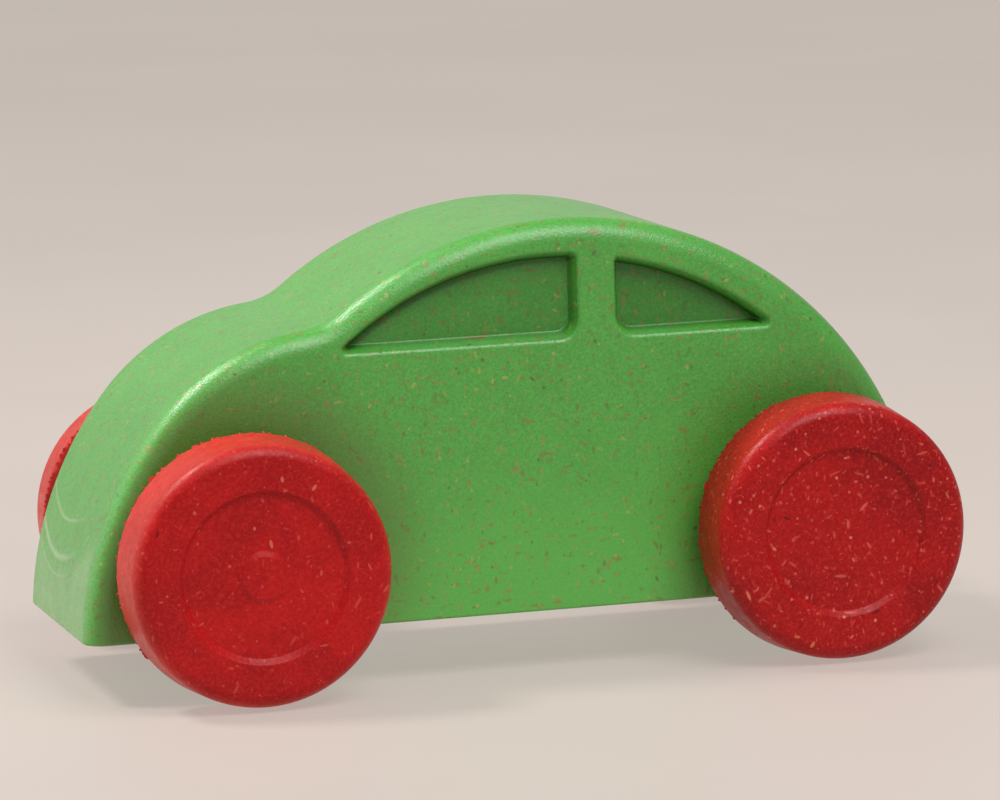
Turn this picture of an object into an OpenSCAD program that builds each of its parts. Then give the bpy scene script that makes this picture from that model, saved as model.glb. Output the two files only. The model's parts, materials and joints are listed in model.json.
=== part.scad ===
// Pull back car: a thick moulded shell, screwed to a base plate that carries a
// wind-up spring motor, and two steel axles with four pressed-on wheels.
// +X is forward, +Y is the car's left and +Z is up. The origin is on the ground
// under the middle of the car. All sizes are in millimetres and degrees.

/* [Body outline, from the nose over the roof to the tail] */
// Distance from the middle of the car to the nose
nose_x = 60; // [59:0.1:61]
// Height of the flat underside
underside_z = 8.1; // [7.8:0.1:8.6]
// Direction in which the outline leaves the underside at the nose
nose_lean = 93.1; // [92.5:0.1:93.5]
// Radius of the nose
nose_r = 50; // [49:0.5:51]
// Sweep of the nose
nose_sweep = 35.6; // [35:0.1:36]
// Radius of the bonnet
bonnet_r = 31; // [30:0.5:32]
// Sweep of the bonnet
bonnet_sweep = 44.82; // [44:0.1:45.5]
// Radius of the hollow at the foot of the windscreen
dip_r = 10; // [9:0.5:12]
// Sweep of that hollow
dip_sweep = 31.65; // [31:0.1:32]
// Radius of the roof
roof_r = 50.5; // [50:0.1:51]
// Sweep of the roof
roof_sweep = 107.11; // [106:0.1:108]
// Radius of the tail
tail_r = 84; // [83:0.5:85]
// Sweep of the tail
tail_sweep = 14.39; // [14:0.1:15]

/* [Body shell] */
// Half of the width of the shell
shell_half_w = 19.35; // [19:0.05:20]
// Rounding of the long side edges
edge_r = 3.05; // [2:0.05:4]
// Thickness of the side walls
side_wall = 4; // [3.5:0.1:4.5]
// Thickness of the roof, nose and tail
roof_wall = 3.6; // [3:0.1:4]

/* [Side windows] */
// Height of both window sills
sill_z = 44.55; // [44:0.05:45]
// Depth of the window recesses
window_depth = 2.3; // [1:0.1:2.6]
// Upright edge of the front window
front_window_x = -9.15; // [-9.5:0.05:-8.5]
// Upright edge of the rear window
rear_window_x = -13.95; // [-14.5:0.05:-13.5]

/* [Wheels and axles] */
// Radius of the wheels at their inner rim
wheel_r = 18; // [17.8:0.1:18.2]
// How much smaller the wheels' radius is at the outer face
tread_taper = 0.7; // [0.3:0.1:1]
// Width of the wheels
wheel_w = 9.5; // [9:0.1:10]
// Distance from the middle of the car to the wheels' outer faces
track_half = 32.9; // [32.5:0.1:33.5]
// Front axle's distance from the middle of the car
front_axle_x = 38.6; // [38:0.1:39]
// Rear axle's distance behind the middle of the car
rear_axle_x = 41.4; // [41:0.1:42]
// Radius of the steel axles
axle_r = 1.5; // [1.25:0.05:1.6]
// Radius of the shallow round recess in each wheel's face
hub_recess_r = 11.1; // [10:0.1:12]
// Depth of that recess
hub_recess_d = 0.7; // [0.4:0.1:1]

/* [Spring motor] */
// Module of the motor's gears
gear_module = 0.5; // [0.49:0.01:0.51]
// Teeth of the pinion on the rear axle and of the clutch gear
pinion_teeth = 12; // [12]
// Teeth of the transfer gear's large wheel
transfer_teeth = 26; // [26]
// Teeth of the spring gear
spring_teeth = 32; // [32]
// Turns of the mainspring
spring_turns = 8; // [6:1:9]

/* [Hidden] */
$fn = 96;

shell_green = "#4f9d45";
wheel_red = "#b01c1c";
steel = "#b8bcc0";
gear_white = "#e9e5d8";
case_grey = "#4a4d52";

eps = 0.01;
run_gap = 0.06;
slot_gap = 0.08;
far = 200;

// Body outline: radius and sweep of each arc, in order. A negative radius is a
// hollow. Each arc starts in the direction in which the one before it ends.
ARCS = [
    [nose_r, nose_sweep], [bonnet_r, bonnet_sweep], [-dip_r, dip_sweep],
    [roof_r, roof_sweep], [tail_r, tail_sweep]
];
overrun = 2;
skin_step = 4;

// Each outline arc as [centre x, centre z, radius, start direction, end direction]
function outline_arcs(i, x, z, dir) =
    i == len(ARCS) ? [] :
    let (
        r = ARCS[i][0],
        end_dir = dir + sign(r) * ARCS[i][1],
        cx = x - r * sin(dir),
        cz = z + r * cos(dir)
    )
    concat(
        [[cx, cz, r, dir, end_dir]],
        outline_arcs(i + 1, cx + r * sin(end_dir), cz - r * cos(end_dir), end_dir)
    );
OUTLINE = outline_arcs(0, nose_x, underside_z, nose_lean);

// Points of the outline moved inwards, closed well below the underside
function inner_outline(inset, step) =
    let (
        pts = [
            for (arc = OUTLINE)
                let (n = ceil(abs(arc[4] - arc[3]) / step))
                    for (i = [0 : n - 1])
                        let (a = arc[3] + (arc[4] - arc[3]) * i / n)
                            [arc[0] + (arc[2] - inset) * sin(a), arc[1] - (arc[2] - inset) * cos(a)]
        ],
        tail = OUTLINE[len(OUTLINE) - 1],
        tail_end = [
            tail[0] + (tail[2] - inset) * sin(tail[4]),
            tail[1] - (tail[2] - inset) * cos(tail[4])
        ]
    )
    concat(
        [[pts[0][0], underside_z - overrun]],
        pts,
        [tail_end, [tail_end[0], underside_z - overrun]]
    );

function arc_points(cx, cz, r, a0, a1, n) =
    [for (i = [0 : n]) let (a = a0 + (a1 - a0) * i / n) [cx + r * cos(a), cz + r * sin(a)]];

// Side window: a flat sill, an upright edge and an arched top that meets the
// sill in a sharp tip. The arch is [centre x, centre z, radius]. side is 1 for a
// tip in front and -1 for a tip behind.
function window_outline(arch, edge_x, side, top_r, low_r) =
    let (
        cx = arch[0],
        cz = arch[1],
        r = arch[2],
        tip_z = sill_z + window_tip_r,
        edge_u = side * (edge_x - cx),
        tip_u = sqrt(pow(r - window_tip_r, 2) - pow(tip_z - cz, 2)),
        tip_a = atan2(tip_z - cz, tip_u),
        top_z = sqrt(pow(r - top_r, 2) - pow(edge_u + top_r, 2)),
        top_a = atan2(top_z, edge_u + top_r),
        pts = concat(
            arc_points(tip_u, tip_z, window_tip_r, -90, tip_a, 5),
            arc_points(0, cz, r, tip_a, top_a, 12),
            arc_points(edge_u + top_r, cz + top_z, top_r, top_a, 180, 5),
            arc_points(edge_u + low_r, sill_z + low_r, low_r, 180, 270, 6)
        )
    )
    [for (p = pts) [cx + side * p[0], p[1]]];
window_tip_r = 0.6;
front_arch = [-5.4, 11.5, 45.15];
front_top_r = 1;
front_low_r = 2.8;
rear_arch = [-6.7, 10.1, 46.2];
rear_top_r = 0.8;
rear_low_r = 3;
FRONT_WINDOW = window_outline(front_arch, front_window_x, 1, front_top_r, front_low_r);
REAR_WINDOW = window_outline(rear_arch, rear_window_x, -1, rear_top_r, rear_low_r);

// Rings of the shell's outer form, from the right side face to the left one, as
// [share of edge_r outwards, share of edge_r inwards]
edge_steps = 6;
RINGS = concat(
    [for (i = [edge_steps : -1 : 0]) let (a = 90 * i / edge_steps) [-sin(a), 1 - cos(a)]],
    [for (i = [0 : edge_steps]) let (a = 90 * i / edge_steps) [sin(a), 1 - cos(a)]]
);

// Cross ribs under the roof
roof_rib_xs = [-4, 16];
roof_rib_t = 2;
roof_rib_z = 36;

// Base plate and its four screws
plate_t = 2;
plate_top = underside_z + plate_t;
plate_gap = 0.25;
plate_half_w = shell_half_w - side_wall - plate_gap;
plate_front_x = 56.1;
plate_rear_x = -56.0;
pad_h = 2;
pad_r = 4;
plate_rib_xs = [8, 26];
plate_rib_t = 1.6;
plate_rib_h = 2;
tongue_gap = 0.3;
tongue_side_gap = 0.1;
tongue_t = 3;
base_screw_xs = [50, -51.6];
base_screw_y = 10.6;
base_screw_r = 1.1;
base_screw_len = 10;
base_head_r = 2.5;
base_head_h = 1.6;
base_head_z = underside_z + 0.3;
head_gap = 0.2;
shank_gap = 0.3;
boss_r = 3.4;
boss_z = plate_top + pad_h + 0.1;

// Axles
axle_z = wheel_r;
axle_half = 29.4;
axle_xs = [front_axle_x, -rear_axle_x];
slot_r = axle_r + slot_gap;

// Wheels, measured outwards from the plane of the inner rim
rim_y = track_half - wheel_w;
hub_r = 4.6;
hub_end = rim_y - shell_half_w - 0.4;
rim_t = 3;
face_t = 3;
tread_edge_r = 2.2;
back_edge_r = 0.9;
tread_lean = atan2(tread_taper, wheel_w - back_edge_r);
edge_ch = wheel_w - tread_edge_r;
edge_cr = wheel_r - (edge_ch - back_edge_r) * tan(tread_lean) - tread_edge_r / cos(tread_lean);
recess_slope = 0.5;
nub_drop = 0.3;
front_nub_r = 3;
rear_nub_r = 0;
rib_t = 1.8;
rib_count = 6;
rib_back = 1.5;
wheel_bore_len = hub_end + wheel_w - 3.4;

// Motor layout in the car's upright lengthwise plane, all axes along Y
pinion_x = -rear_axle_x;
pinion_z = axle_z;
transfer_reach = 11;
transfer_rise = 8;
transfer_x = pinion_x + transfer_reach * cos(transfer_rise);
transfer_z = pinion_z + transfer_reach * sin(transfer_rise);
clutch_to_pinion = gear_module * pinion_teeth;
clutch_to_transfer = gear_module * (pinion_teeth + transfer_teeth) / 2;
clutch_along =
    (pow(clutch_to_pinion, 2) - pow(clutch_to_transfer, 2) + pow(transfer_reach, 2))
    / (2 * transfer_reach);
clutch_up = sqrt(pow(clutch_to_pinion, 2) - pow(clutch_along, 2));
clutch_x = pinion_x + clutch_along * cos(transfer_rise) - clutch_up * sin(transfer_rise);
clutch_z = pinion_z + clutch_along * sin(transfer_rise) + clutch_up * cos(transfer_rise);
spring_reach = gear_module * (pinion_teeth + spring_teeth) / 2;
spring_rise = 10;
spring_x = transfer_x + spring_reach * cos(spring_rise);
spring_z = transfer_z + spring_reach * sin(spring_rise);

// Motor layers across the car, from right to left
case_half_w = 10.4;
case_plate = 1.4;
case_rim = 1.2;
case_x0 = -46.6;
case_x1 = -9.4;
case_z0 = plate_top + 0.2;
case_low_top = 28.6;
case_high_top = 31.6;
case_step_x = -30.2;
strip_y0 = -8.6;
strip_h = 6;
strip_t = 0.22;
divider_y0 = -2.3;
divider_t = 1;
divider_reach = 9.8;
spring_gear_y0 = -0.8;
spring_gear_y1 = 1.7;
transfer_y0 = 2.3;
transfer_y1 = 4.8;
transfer_pinion_y0 = spring_gear_y0 - 0.2;
clutch_y0 = transfer_y0 - 0.2;
clutch_y1 = transfer_y1 + 0.4;
pinion_y0 = 2;
pinion_y1 = 5.4;
pin_r = 1;
pin_fit = 0.01;
pin_half = case_half_w - 0.6;
pin_boss_r = 2.1;
pin_hole_y0 = -3;
axle_boss_wall = 1.6;
axle_boss_y0 = 7;
axle_boss_y1 = case_half_w + 0.6;
case_gap = 0.05;
spring_hub_r = 2.6;
strip_r0 = spring_hub_r + 0.16;
strip_r1 = 7.96;
ear_x1 = -3;
ear_pad_r = 2.6;
ear_screw_x = -6;
ear_screw_y = 6;
ear_z0 = plate_top + pad_h;
ear_t = 2;
ear_w = 6;
ear_screw_r = 0.9;
ear_head_r = 1.8;
ear_head_h = 1.3;
ear_screw_len = 5;

// Gear teeth: involute flanks, a little thinner than half of the pitch
pressure = 25;
backlash = 0.09;
addendum = 0.9 * gear_module;
dedendum = 1.2 * gear_module;
function involute(a) = tan(a) * 180 / PI - a;
function tooth_half_angle(teeth, r) =
    let (
        pitch_r = gear_module * teeth / 2,
        base_r = pitch_r * cos(pressure),
        a = acos(min(1, base_r / r))
    )
    90 / teeth - backlash / 2 / pitch_r * 180 / PI + involute(pressure) - involute(a);
function gear_outline(teeth, phase) =
    let (
        pitch_r = gear_module * teeth / 2,
        root_r = pitch_r - dedendum,
        tip_r = pitch_r + addendum,
        base_r = max(root_r + 0.05, pitch_r * cos(pressure)),
        radii = [root_r, base_r, (base_r + pitch_r) / 2, pitch_r, (pitch_r + tip_r) / 2, tip_r]
    )
    [
        for (t = [0 : teeth - 1])
            let (mid = phase + 360 * t / teeth)
                each concat(
                    [
                        for (r = radii)
                            let (a = mid - tooth_half_angle(teeth, max(r, base_r)))
                                [r * cos(a), r * sin(a)]
                    ],
                    [
                        for (i = [len(radii) - 1 : -1 : 0])
                            let (r = radii[i], a = mid + tooth_half_angle(teeth, max(r, base_r)))
                                [r * cos(a), r * sin(a)]
                    ]
                )
    ];

// Turn of a gear that meshes with another one, which lies in direction dir
// seen from that other gear
function meshed_phase(other_phase, other_teeth, teeth, dir) =
    dir + 180 + 180 / teeth - (other_phase - dir) * other_teeth / teeth;
pinion_phase = 0;
clutch_dir = atan2(clutch_z - pinion_z, clutch_x - pinion_x);
clutch_phase = meshed_phase(pinion_phase, pinion_teeth, pinion_teeth, clutch_dir);
transfer_dir = atan2(transfer_z - clutch_z, transfer_x - clutch_x);
transfer_phase = meshed_phase(clutch_phase, pinion_teeth, transfer_teeth, transfer_dir);
spring_phase = meshed_phase(transfer_phase, pinion_teeth, spring_teeth, spring_rise);

// Draws a shape of the X-Z plane from y0 to y1
module across(y0, y1) {
    translate([0, y1, 0])
        rotate([90, 0, 0])
            linear_extrude(height = y1 - y0)
                children();
}

// A round bar along Y
module bar(x, z, r, y0, y1) {
    translate([x, y0, z])
        rotate([-90, 0, 0])
            cylinder(r = r, h = y1 - y0);
}

// The shell's outer form before anything is cut out of it
module shell_form() {
    straight = shell_half_w - edge_r;
    rows = [
        for (i = [0 : len(RINGS) - 1])
            let (y = RINGS[i][0] * edge_r + (i <= edge_steps ? -straight : straight))
                [for (p = inner_outline(edge_r * RINGS[i][1], skin_step)) [p[0], y, p[1]]]
    ];
    n = len(rows[0]);
    last = len(rows) - 1;
    polyhedron(
        points = [for (row = rows, p = row) p],
        faces = concat(
            [[for (j = [n - 1 : -1 : 0]) j]],
            [
                for (i = [0 : last - 1], j = [0 : n - 1])
                    let (k = (j + 1) % n)
                        [i * n + j, i * n + k, (i + 1) * n + k, (i + 1) * n + j]
            ],
            [[for (j = [0 : n - 1]) last * n + j]]
        )
    );
}

module body_shell() {
    color(shell_green)
        difference() {
            shell_form();
            difference() {
                across(-shell_half_w + side_wall, shell_half_w - side_wall)
                    polygon(inner_outline(roof_wall, 8));
                for (x = base_screw_xs, s = [-1, 1])
                    translate([x, s * base_screw_y, boss_z])
                        cylinder(r = boss_r, h = far);
                for (x = roof_rib_xs)
                    translate([x, -far / 2, roof_rib_z])
                        cube([roof_rib_t, far, far]);
            }
            translate([-far / 2, -far / 2, underside_z - far])
                cube([far, far, far]);
            for (side = [0, 1], window = [FRONT_WINDOW, REAR_WINDOW])
                mirror([0, side, 0])
                    across(shell_half_w - window_depth, shell_half_w + 1)
                        polygon(window);
            for (x = axle_xs) {
                bar(x, axle_z, slot_r, -shell_half_w - 1, shell_half_w + 1);
                translate([x - slot_r, -shell_half_w - 1, underside_z - 1])
                    cube([2 * slot_r, 2 * shell_half_w + 2, axle_z - underside_z + 1]);
            }
            for (x = base_screw_xs, s = [-1, 1])
                translate([x, s * base_screw_y, boss_z - 1])
                    cylinder(r = base_screw_r, h = base_screw_len + 1);
        }
}

// Tongue that closes an axle slot from below and carries the axle
module axle_tongue(x) {
    tongue_w = 2 * (slot_r - tongue_side_gap);
    outer_y = shell_half_w - tongue_gap;
    inner_y = plate_half_w - tongue_t;
    difference() {
        translate([x - tongue_w / 2, -outer_y, underside_z])
            cube([tongue_w, 2 * outer_y, axle_z - underside_z - tongue_gap]);
        translate([x - tongue_w, -inner_y, plate_top])
            cube([2 * tongue_w, 2 * inner_y, far]);
        bar(x, axle_z, slot_r, -shell_half_w, shell_half_w);
    }
}

module base_plate() {
    color(shell_green)
        difference() {
            union() {
                translate([plate_rear_x, -plate_half_w, underside_z])
                    cube([plate_front_x - plate_rear_x, 2 * plate_half_w, plate_t]);
                for (x = axle_xs)
                    axle_tongue(x);
                for (x = base_screw_xs, s = [-1, 1])
                    translate([x, s * base_screw_y, underside_z])
                        cylinder(r = pad_r, h = plate_t + pad_h);
                for (s = [-1, 1])
                    translate([ear_screw_x, s * ear_screw_y, underside_z])
                        cylinder(r = ear_pad_r, h = plate_t + pad_h);
                for (x = plate_rib_xs)
                    translate([x, -plate_half_w, underside_z])
                        cube([plate_rib_t, 2 * plate_half_w, plate_t + plate_rib_h]);
            }
            for (x = base_screw_xs, s = [-1, 1])
                translate([x, s * base_screw_y, 0]) {
                    cylinder(r = base_head_r + head_gap, h = base_head_z + base_head_h);
                    cylinder(r = base_screw_r + shank_gap, h = far);
                }
            for (s = [-1, 1])
                translate([ear_screw_x, s * ear_screw_y, ear_z0 + ear_t - ear_screw_len])
                    cylinder(r = ear_screw_r, h = ear_screw_len);
        }
}

// Pan-head screw with a cross recess, its head down and its shank up
module screw(head_r, head_h, r, shank) {
    difference() {
        union() {
            cylinder(r = head_r, h = head_h);
            translate([0, 0, head_h - eps])
                cylinder(r = r - eps, h = shank - 1);
            translate([0, 0, head_h + shank - 1 - 2 * eps])
                cylinder(r1 = r - eps, r2 = 0.3, h = 1);
        }
        for (a = [0, 90])
            rotate([0, 0, a])
                translate([-0.3 * head_r * 2, -0.35, -1])
                    cube([0.6 * head_r * 2, 0.7, 1 + 0.55 * head_h]);
    }
}

module base_screws() {
    color(steel)
        for (x = base_screw_xs, s = [-1, 1])
            translate([x, s * base_screw_y, base_head_z])
                screw(base_head_r, base_head_h, base_screw_r, base_screw_len);
}

module motor_screws() {
    color(steel)
        for (s = [-1, 1])
            translate([ear_screw_x, s * ear_screw_y, ear_z0 + ear_t + ear_head_h])
                mirror([0, 0, 1])
                    screw(ear_head_r, ear_head_h, ear_screw_r, ear_screw_len - 0.3);
}

// Wheel with its axis along Z, its back at z = 0 and its outer face upwards
module wheel_blank(nub_r) {
    difference() {
        rotate_extrude()
            difference() {
                union() {
                    translate([wheel_r - rim_t, 0])
                        square([rim_t, wheel_w]);
                    translate([0, wheel_w - face_t])
                        square([wheel_r - 1, face_t]);
                    translate([0, -hub_end])
                        square([hub_r, hub_end + wheel_w - 1]);
                }
                polygon([
                    [wheel_r, back_edge_r], [wheel_r + 1, back_edge_r], [wheel_r + 1, wheel_w + 1],
                    [wheel_r - tread_taper - tan(tread_lean), wheel_w + 1]
                ]);
                difference() {
                    translate([edge_cr, edge_ch + tread_edge_r * sin(tread_lean)])
                        square(tread_edge_r + 1);
                    translate([edge_cr, edge_ch])
                        circle(r = tread_edge_r);
                }
                difference() {
                    translate([wheel_r - back_edge_r, -1])
                        square([back_edge_r + 1, back_edge_r + 1]);
                    translate([wheel_r - back_edge_r, back_edge_r])
                        circle(r = back_edge_r);
                }
                polygon([
                    [nub_r, wheel_w + 1], [nub_r, wheel_w - hub_recess_d],
                    [hub_recess_r - recess_slope, wheel_w - hub_recess_d],
                    [hub_recess_r + recess_slope, wheel_w + 0.3], [hub_recess_r + recess_slope, wheel_w + 1]
                ]);
                translate([-1, wheel_w - nub_drop])
                    square([nub_r + 2, 2]);
            }
        translate([0, 0, -hub_end - 1])
            cylinder(r = axle_r, h = wheel_bore_len + 1);
    }
    for (i = [0 : rib_count - 1])
        rotate([0, 0, 360 * i / rib_count])
            translate([hub_r - 0.4, -rib_t / 2, rib_back])
                cube([wheel_r - rim_t - hub_r + 0.9, rib_t, wheel_w - face_t - rib_back + 0.5]);
}

module wheel(x, side, nub_r) {
    color(wheel_red)
        mirror([0, side > 0 ? 0 : 1, 0])
            translate([x, rim_y, axle_z])
                rotate([-90, 0, 0])
                    wheel_blank(nub_r);
}

module front_left_wheel() { wheel(front_axle_x, 1, front_nub_r); }
module front_right_wheel() { wheel(front_axle_x, -1, front_nub_r); }
module rear_left_wheel() { wheel(-rear_axle_x, 1, rear_nub_r); }
module rear_right_wheel() { wheel(-rear_axle_x, -1, rear_nub_r); }

module axle(x) {
    color(steel)
        bar(x, axle_z, axle_r - eps, -axle_half, axle_half);
}
module front_axle() { axle(front_axle_x); }
module rear_axle() { axle(-rear_axle_x); }

// Outline of the motor case in the X-Z plane, made smaller all round by inset
module case_outline(inset) {
    translate([case_x0 + inset, case_z0 + inset])
        square([case_x1 - case_x0 - 2 * inset, case_low_top - case_z0 - 2 * inset]);
    translate([case_step_x + inset, case_z0 + inset])
        square([case_x1 - case_step_x - 2 * inset, case_high_top - case_z0 - 2 * inset]);
}

// One half of the motor case. Its bosses reach in to boss_y at each pin.
module case_half(side, clutch_boss_y, transfer_boss_y, spring_boss_y) {
    color(case_grey)
        mirror([0, side > 0 ? 0 : 1, 0])
            difference() {
                union() {
                    difference() {
                        across(case_gap, case_half_w)
                            case_outline(0);
                        across(-1, case_half_w - case_plate)
                            case_outline(case_rim);
                    }
                    bar(clutch_x, clutch_z, pin_boss_r, clutch_boss_y, case_half_w - 0.5);
                    bar(transfer_x, transfer_z, pin_boss_r, transfer_boss_y, case_half_w - 0.5);
                    bar(spring_x, spring_z, pin_boss_r, spring_boss_y, case_half_w - 0.5);
                    bar(pinion_x, pinion_z, axle_r + axle_boss_wall, axle_boss_y0, axle_boss_y1);
                    difference() {
                        translate([case_x1 - 0.5, ear_screw_y - ear_w / 2, ear_z0])
                            cube([ear_x1 - case_x1 + 0.5, ear_w, ear_t]);
                        translate([ear_screw_x, ear_screw_y, 0])
                            cylinder(r = ear_screw_r + head_gap, h = far);
                    }
                }
                bar(clutch_x, clutch_z, pin_r + pin_fit, pin_hole_y0, pin_half + case_gap);
                bar(transfer_x, transfer_z, pin_r + pin_fit, pin_hole_y0, pin_half + case_gap);
                bar(spring_x, spring_z, pin_r + pin_fit, pin_hole_y0, pin_half + case_gap);
                bar(pinion_x, pinion_z, axle_r + run_gap, pin_hole_y0, axle_boss_y1 + 1);
            }
}

module motor_case_left() { case_half(1, 5.9, 5.4, 2.4); }
module motor_case_right() { case_half(-1, -2, 1.2, 8.8); }

// Plate between the mainspring and the gears
module spring_divider() {
    color(case_grey)
        difference() {
            across(divider_y0, divider_y0 + divider_t)
                intersection() {
                    case_outline(case_rim + 0.1);
                    translate([spring_x - divider_reach, 0])
                        square(far);
                }
            bar(spring_x, spring_z, spring_hub_r + 0.4, -case_half_w, case_half_w);
            bar(transfer_x, transfer_z, pin_boss_r + 0.3, -case_half_w, case_half_w);
        }
}

// Toothed disc about the Y axis, with a hole for its pin
module gear(teeth, phase, y0, y1, bore = pin_r + run_gap) {
    across(y0, y1)
        difference() {
            polygon(gear_outline(teeth, phase));
            circle(r = bore);
        }
}

module drive_pinion() {
    color(gear_white)
        translate([pinion_x, 0, pinion_z])
            gear(pinion_teeth, pinion_phase, pinion_y0, pinion_y1, axle_r);
}

module clutch_gear() {
    color(gear_white)
        translate([clutch_x, 0, clutch_z])
            gear(pinion_teeth, clutch_phase, clutch_y0, clutch_y1);
}

module transfer_gear() {
    color(gear_white)
        translate([transfer_x, 0, transfer_z]) {
            gear(transfer_teeth, transfer_phase, transfer_y0, transfer_y1);
            gear(pinion_teeth, transfer_phase, transfer_pinion_y0, transfer_y0 + eps);
        }
}

// Spring gear with the hub that the inner end of the mainspring hooks into
module spring_gear() {
    color(gear_white)
        translate([spring_x, 0, spring_z]) {
            gear(spring_teeth, spring_phase, spring_gear_y0, spring_gear_y1);
            difference() {
                bar(0, 0, spring_hub_r, strip_y0, spring_gear_y0 + eps);
                bar(0, 0, pin_r + run_gap, -case_half_w, case_half_w);
            }
        }
}

module pin(x, z) {
    color(steel)
        bar(x, z, pin_r, -pin_half, pin_half);
}
module clutch_pin() { pin(clutch_x, clutch_z); }
module transfer_pin() { pin(transfer_x, transfer_z); }
module spring_arbor() { pin(spring_x, spring_z); }

// Flat steel strip wound in a spiral, from the spring gear's hub outwards
module mainspring() {
    turn_steps = 24;
    steps = turn_steps * spring_turns;
    function strip_point(i, side) =
        let (
            a = 360 * i / turn_steps,
            middle_r = strip_r0 + (strip_r1 - strip_r0) * i / steps,
            r = middle_r + side * strip_t / 2
        )
        [r * cos(a), r * sin(a)];
    color(steel)
        translate([spring_x, 0, spring_z])
            across(strip_y0 + 0.2, strip_y0 + strip_h)
                polygon(concat(
                    [for (i = [0 : steps]) strip_point(i, 1)],
                    [for (i = [steps : -1 : 0]) strip_point(i, -1)]
                ));
}

body_shell();
base_plate();
base_screws();
front_left_wheel();
front_right_wheel();
rear_left_wheel();
rear_right_wheel();
front_axle();
rear_axle();
drive_pinion();
motor_case_left();
motor_case_right();
motor_screws();
spring_divider();
clutch_gear();
clutch_pin();
transfer_gear();
transfer_pin();
spring_gear();
spring_arbor();
mainspring();
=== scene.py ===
"""Looks of the pull back car: a green moulded shell with recessed windows, red disc wheels and a
screwed base plate, on a pale floor in soft studio light. Lengths are in millimetres in the tables
and functions below, and meshes are written in metres."""

import json
import math
import random

import bmesh
import bpy
from mathutils import Matrix, Vector


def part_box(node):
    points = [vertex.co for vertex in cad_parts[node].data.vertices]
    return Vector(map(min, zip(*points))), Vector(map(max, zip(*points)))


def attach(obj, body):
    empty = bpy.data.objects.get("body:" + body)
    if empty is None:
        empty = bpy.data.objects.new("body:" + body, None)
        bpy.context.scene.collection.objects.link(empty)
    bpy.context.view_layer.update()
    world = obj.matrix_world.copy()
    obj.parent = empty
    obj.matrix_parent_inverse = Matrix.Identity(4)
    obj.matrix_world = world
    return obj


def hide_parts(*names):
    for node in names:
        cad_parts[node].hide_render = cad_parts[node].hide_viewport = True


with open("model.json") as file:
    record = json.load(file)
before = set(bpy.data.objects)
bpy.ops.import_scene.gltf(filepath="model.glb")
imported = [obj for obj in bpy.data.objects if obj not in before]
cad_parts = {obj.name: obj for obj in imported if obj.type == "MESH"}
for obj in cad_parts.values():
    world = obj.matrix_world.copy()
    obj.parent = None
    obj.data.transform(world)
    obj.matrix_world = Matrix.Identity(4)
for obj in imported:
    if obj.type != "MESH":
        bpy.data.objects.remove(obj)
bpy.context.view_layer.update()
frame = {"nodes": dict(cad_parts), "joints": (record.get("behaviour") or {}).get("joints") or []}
MM = 0.001


# ---------------------------------------------------------------- sizes taken from the frame

def box_mm(node):
    low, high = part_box(node)
    return low / MM, high / MM


def joint_place(name):
    joint = next(j for j in frame["joints"] if j["name"] == name)
    return Vector(joint["pos_m"]) / MM


SHELL_LOW, SHELL_HIGH = box_mm("body_shell")
PLATE_LOW, PLATE_HIGH = box_mm("base_plate")
UNDERSIDE = SHELL_LOW.z
HALF_W = SHELL_HIGH.y
FRONT_AXLE = joint_place("front_axle_spin")
REAR_AXLE = joint_place("rear_axle_spin")
WHEEL_LOW, WHEEL_HIGH = box_mm("front_left_wheel")
WHEEL_R = (WHEEL_HIGH.z - WHEEL_LOW.z) / 2
HUB_END_Y = WHEEL_LOW.y
FACE_Y = WHEEL_HIGH.y
AXLE_R = (box_mm("front_axle")[1].z - box_mm("front_axle")[0].z) / 2
SCREW_LOW, SCREW_HIGH = box_mm("base_screws")


# ---------------------------------------------------------------- mesh helpers

def mesh_object(name, bm):
    """A new object from a bmesh in millimetres."""
    bmesh.ops.recalc_face_normals(bm, faces=bm.faces)
    bmesh.ops.scale(bm, vec=(MM, MM, MM), verts=bm.verts)
    mesh = bpy.data.meshes.new(name)
    bm.to_mesh(mesh)
    bm.free()
    obj = bpy.data.objects.new(name, mesh)
    bpy.context.scene.collection.objects.link(obj)
    return obj


def loft(bm, rings):
    """A closed solid through rings that all have the same number of points."""
    rows = [[bm.verts.new(p) for p in ring] for ring in rings]
    count = len(rows[0])
    bm.faces.new(rows[0])
    bm.faces.new(rows[-1])
    for low, high in zip(rows, rows[1:]):
        for i in range(count):
            j = (i + 1) % count
            bm.faces.new((low[i], low[j], high[j], high[i]))


def box_into(bm, low, high):
    corners = [(low[0], low[1]), (high[0], low[1]), (high[0], high[1]), (low[0], high[1])]
    loft(bm, [[(x, y, z) for x, y in corners] for z in (low[2], high[2])])


def cylinder_into(bm, x, y, r, z0, z1, sides=48):
    turns = [2 * math.pi * i / sides for i in range(sides)]
    loft(bm, [[(x + r * math.cos(a), y + r * math.sin(a), z) for a in turns] for z in (z0, z1)])


def cut(obj, tool, operation="DIFFERENCE"):
    """Applies a boolean to obj and removes the tool."""
    step = obj.modifiers.new("cut", "BOOLEAN")
    step.operation = operation
    step.solver = "EXACT"
    step.object = tool
    bpy.context.view_layer.update()
    done = bpy.data.meshes.new_from_object(obj.evaluated_get(bpy.context.evaluated_depsgraph_get()))
    obj.modifiers.clear()
    old = obj.data
    obj.data = done
    done.name = old.name
    bpy.data.meshes.remove(old)
    bpy.data.objects.remove(tool)


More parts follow.
